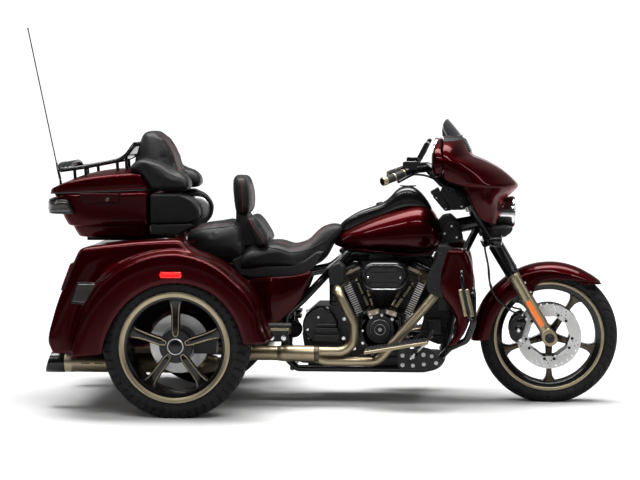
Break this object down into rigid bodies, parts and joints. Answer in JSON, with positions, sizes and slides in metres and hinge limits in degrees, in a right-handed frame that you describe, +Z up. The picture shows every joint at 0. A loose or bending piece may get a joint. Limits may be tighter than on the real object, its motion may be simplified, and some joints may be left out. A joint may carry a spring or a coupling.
{
  "type": "touring trike motorcycle",
  "caption": "Touring trike with a V-twin engine, batwing fairing on the fork, wide rear body with a trunk between the rear wheels, and a top box with wrap-round backrest and rack.",
  "frame": {"origin": "on the ground under the middle of the bounding box", "axes": "+X forward, +Y left, +Z up"},
  "size_m": [2.8206, 1.39, 1.7615],
  "materials": {
    "paint": "gloss",
    "black_paint": "gloss",
    "engine_black": "satin",
    "bronze": "satin",
    "steel": "brushed",
    "tyre": "matte",
    "rubber": "matte",
    "leather": "matte",
    "black_plastic": "matte",
    "gloss_black": "gloss",
    "red_lens": "gloss",
    "smoke_glass": "gloss",
    "clear_glass": "gloss"
  },
  "bodies": {
    "chassis": {"frame": "black_paint", "crankcase": "engine_black", "cylinders": "engine_black", "air_cleaner": "gloss_black", "gearbox": "engine_black", "primary_cover": "engine_black", "exhaust_pipes": "bronze", "mufflers": "bronze", "fuel_tank": "paint", "tank_console": "gloss_black", "rider_seat": "leather", "passenger_seat": "leather", "rider_backrest": "leather", "side_covers": "paint", "rear_fenders": "paint", "trunk_body": "paint", "tail_lamps": "red_lens", "rear_axle": "engine_black", "rear_calipers": "engine_black", "swingarm": "black_paint", "shock_absorbers": "black_paint", "final_drive": "rubber", "engine_guard": "black_paint", "rider_footboards": "bronze", "passenger_footboards": "bronze", "lower_fairings": "paint", "top_box_base": "paint", "top_box_lamp": "red_lens", "top_box_carrier": "black_paint", "speaker_pods": "black_plastic", "antenna": "black_plastic"},
    "steering": {"fork_legs": "bronze", "fork_yokes": "black_paint", "handlebar": "black_paint", "hand_grips": "rubber", "hand_controls": "gloss_black", "mirrors": "gloss_black", "fairing": "paint", "inner_fairing": "paint", "windshield": "smoke_glass", "headlamp": "clear_glass", "turn_signals": "gloss_black", "fork_shroud": "gloss_black", "front_fender": "paint", "front_calipers": "engine_black"},
    "front_wheel_body": {"front_tyre": "tyre", "front_wheel": "bronze", "front_brake_discs": "steel"},
    "rear_right_wheel_body": {"rear_right_tyre": "tyre", "rear_right_wheel": "bronze", "rear_right_disc": "steel"},
    "rear_left_wheel_body": {"rear_left_tyre": "tyre", "rear_left_wheel": "bronze", "rear_left_disc": "steel"},
    "trunk_lid_body": {"trunk_lid": "paint"},
    "top_box_lid_body": {"top_box_lid": "paint", "luggage_rack": "black_paint", "passenger_backrest": "leather", "armrests": "leather"}
  },
  "joints": [
    {"name": "steering", "type": "hinge", "parent": "chassis", "child": "steering", "pos_m": [0.77543, 0, 0.85], "axis": [-0.4384, 0, 0.8988], "range_deg": [-35, 35]},
    {"name": "front_wheel_spin", "type": "hinge", "parent": "steering", "child": "front_wheel_body", "pos_m": [1.09, 0, 0.3193], "axis": [0, 1, 0], "continuous": true},
    {"name": "rear_right_wheel_spin", "type": "hinge", "parent": "chassis", "child": "rear_right_wheel_body", "pos_m": [-0.58, -0.555, 0.325], "axis": [0, 1, 0], "continuous": true},
    {"name": "rear_left_wheel_spin", "type": "hinge", "parent": "chassis", "child": "rear_left_wheel_body", "pos_m": [-0.58, 0.555, 0.325], "axis": [0, 1, 0], "continuous": true},
    {"name": "trunk_lid", "type": "hinge", "parent": "chassis", "child": "trunk_lid_body", "pos_m": [-1.02328, 0, 0.74007], "axis": [0, 1, 0], "range_deg": [0, 65]},
    {"name": "top_box_lid", "type": "hinge", "parent": "chassis", "child": "top_box_lid_body", "pos_m": [-0.98, 0.291, 0.994], "axis": [-0.9992, 0, -0.0394], "range_deg": [0, 85]}
  ]
}
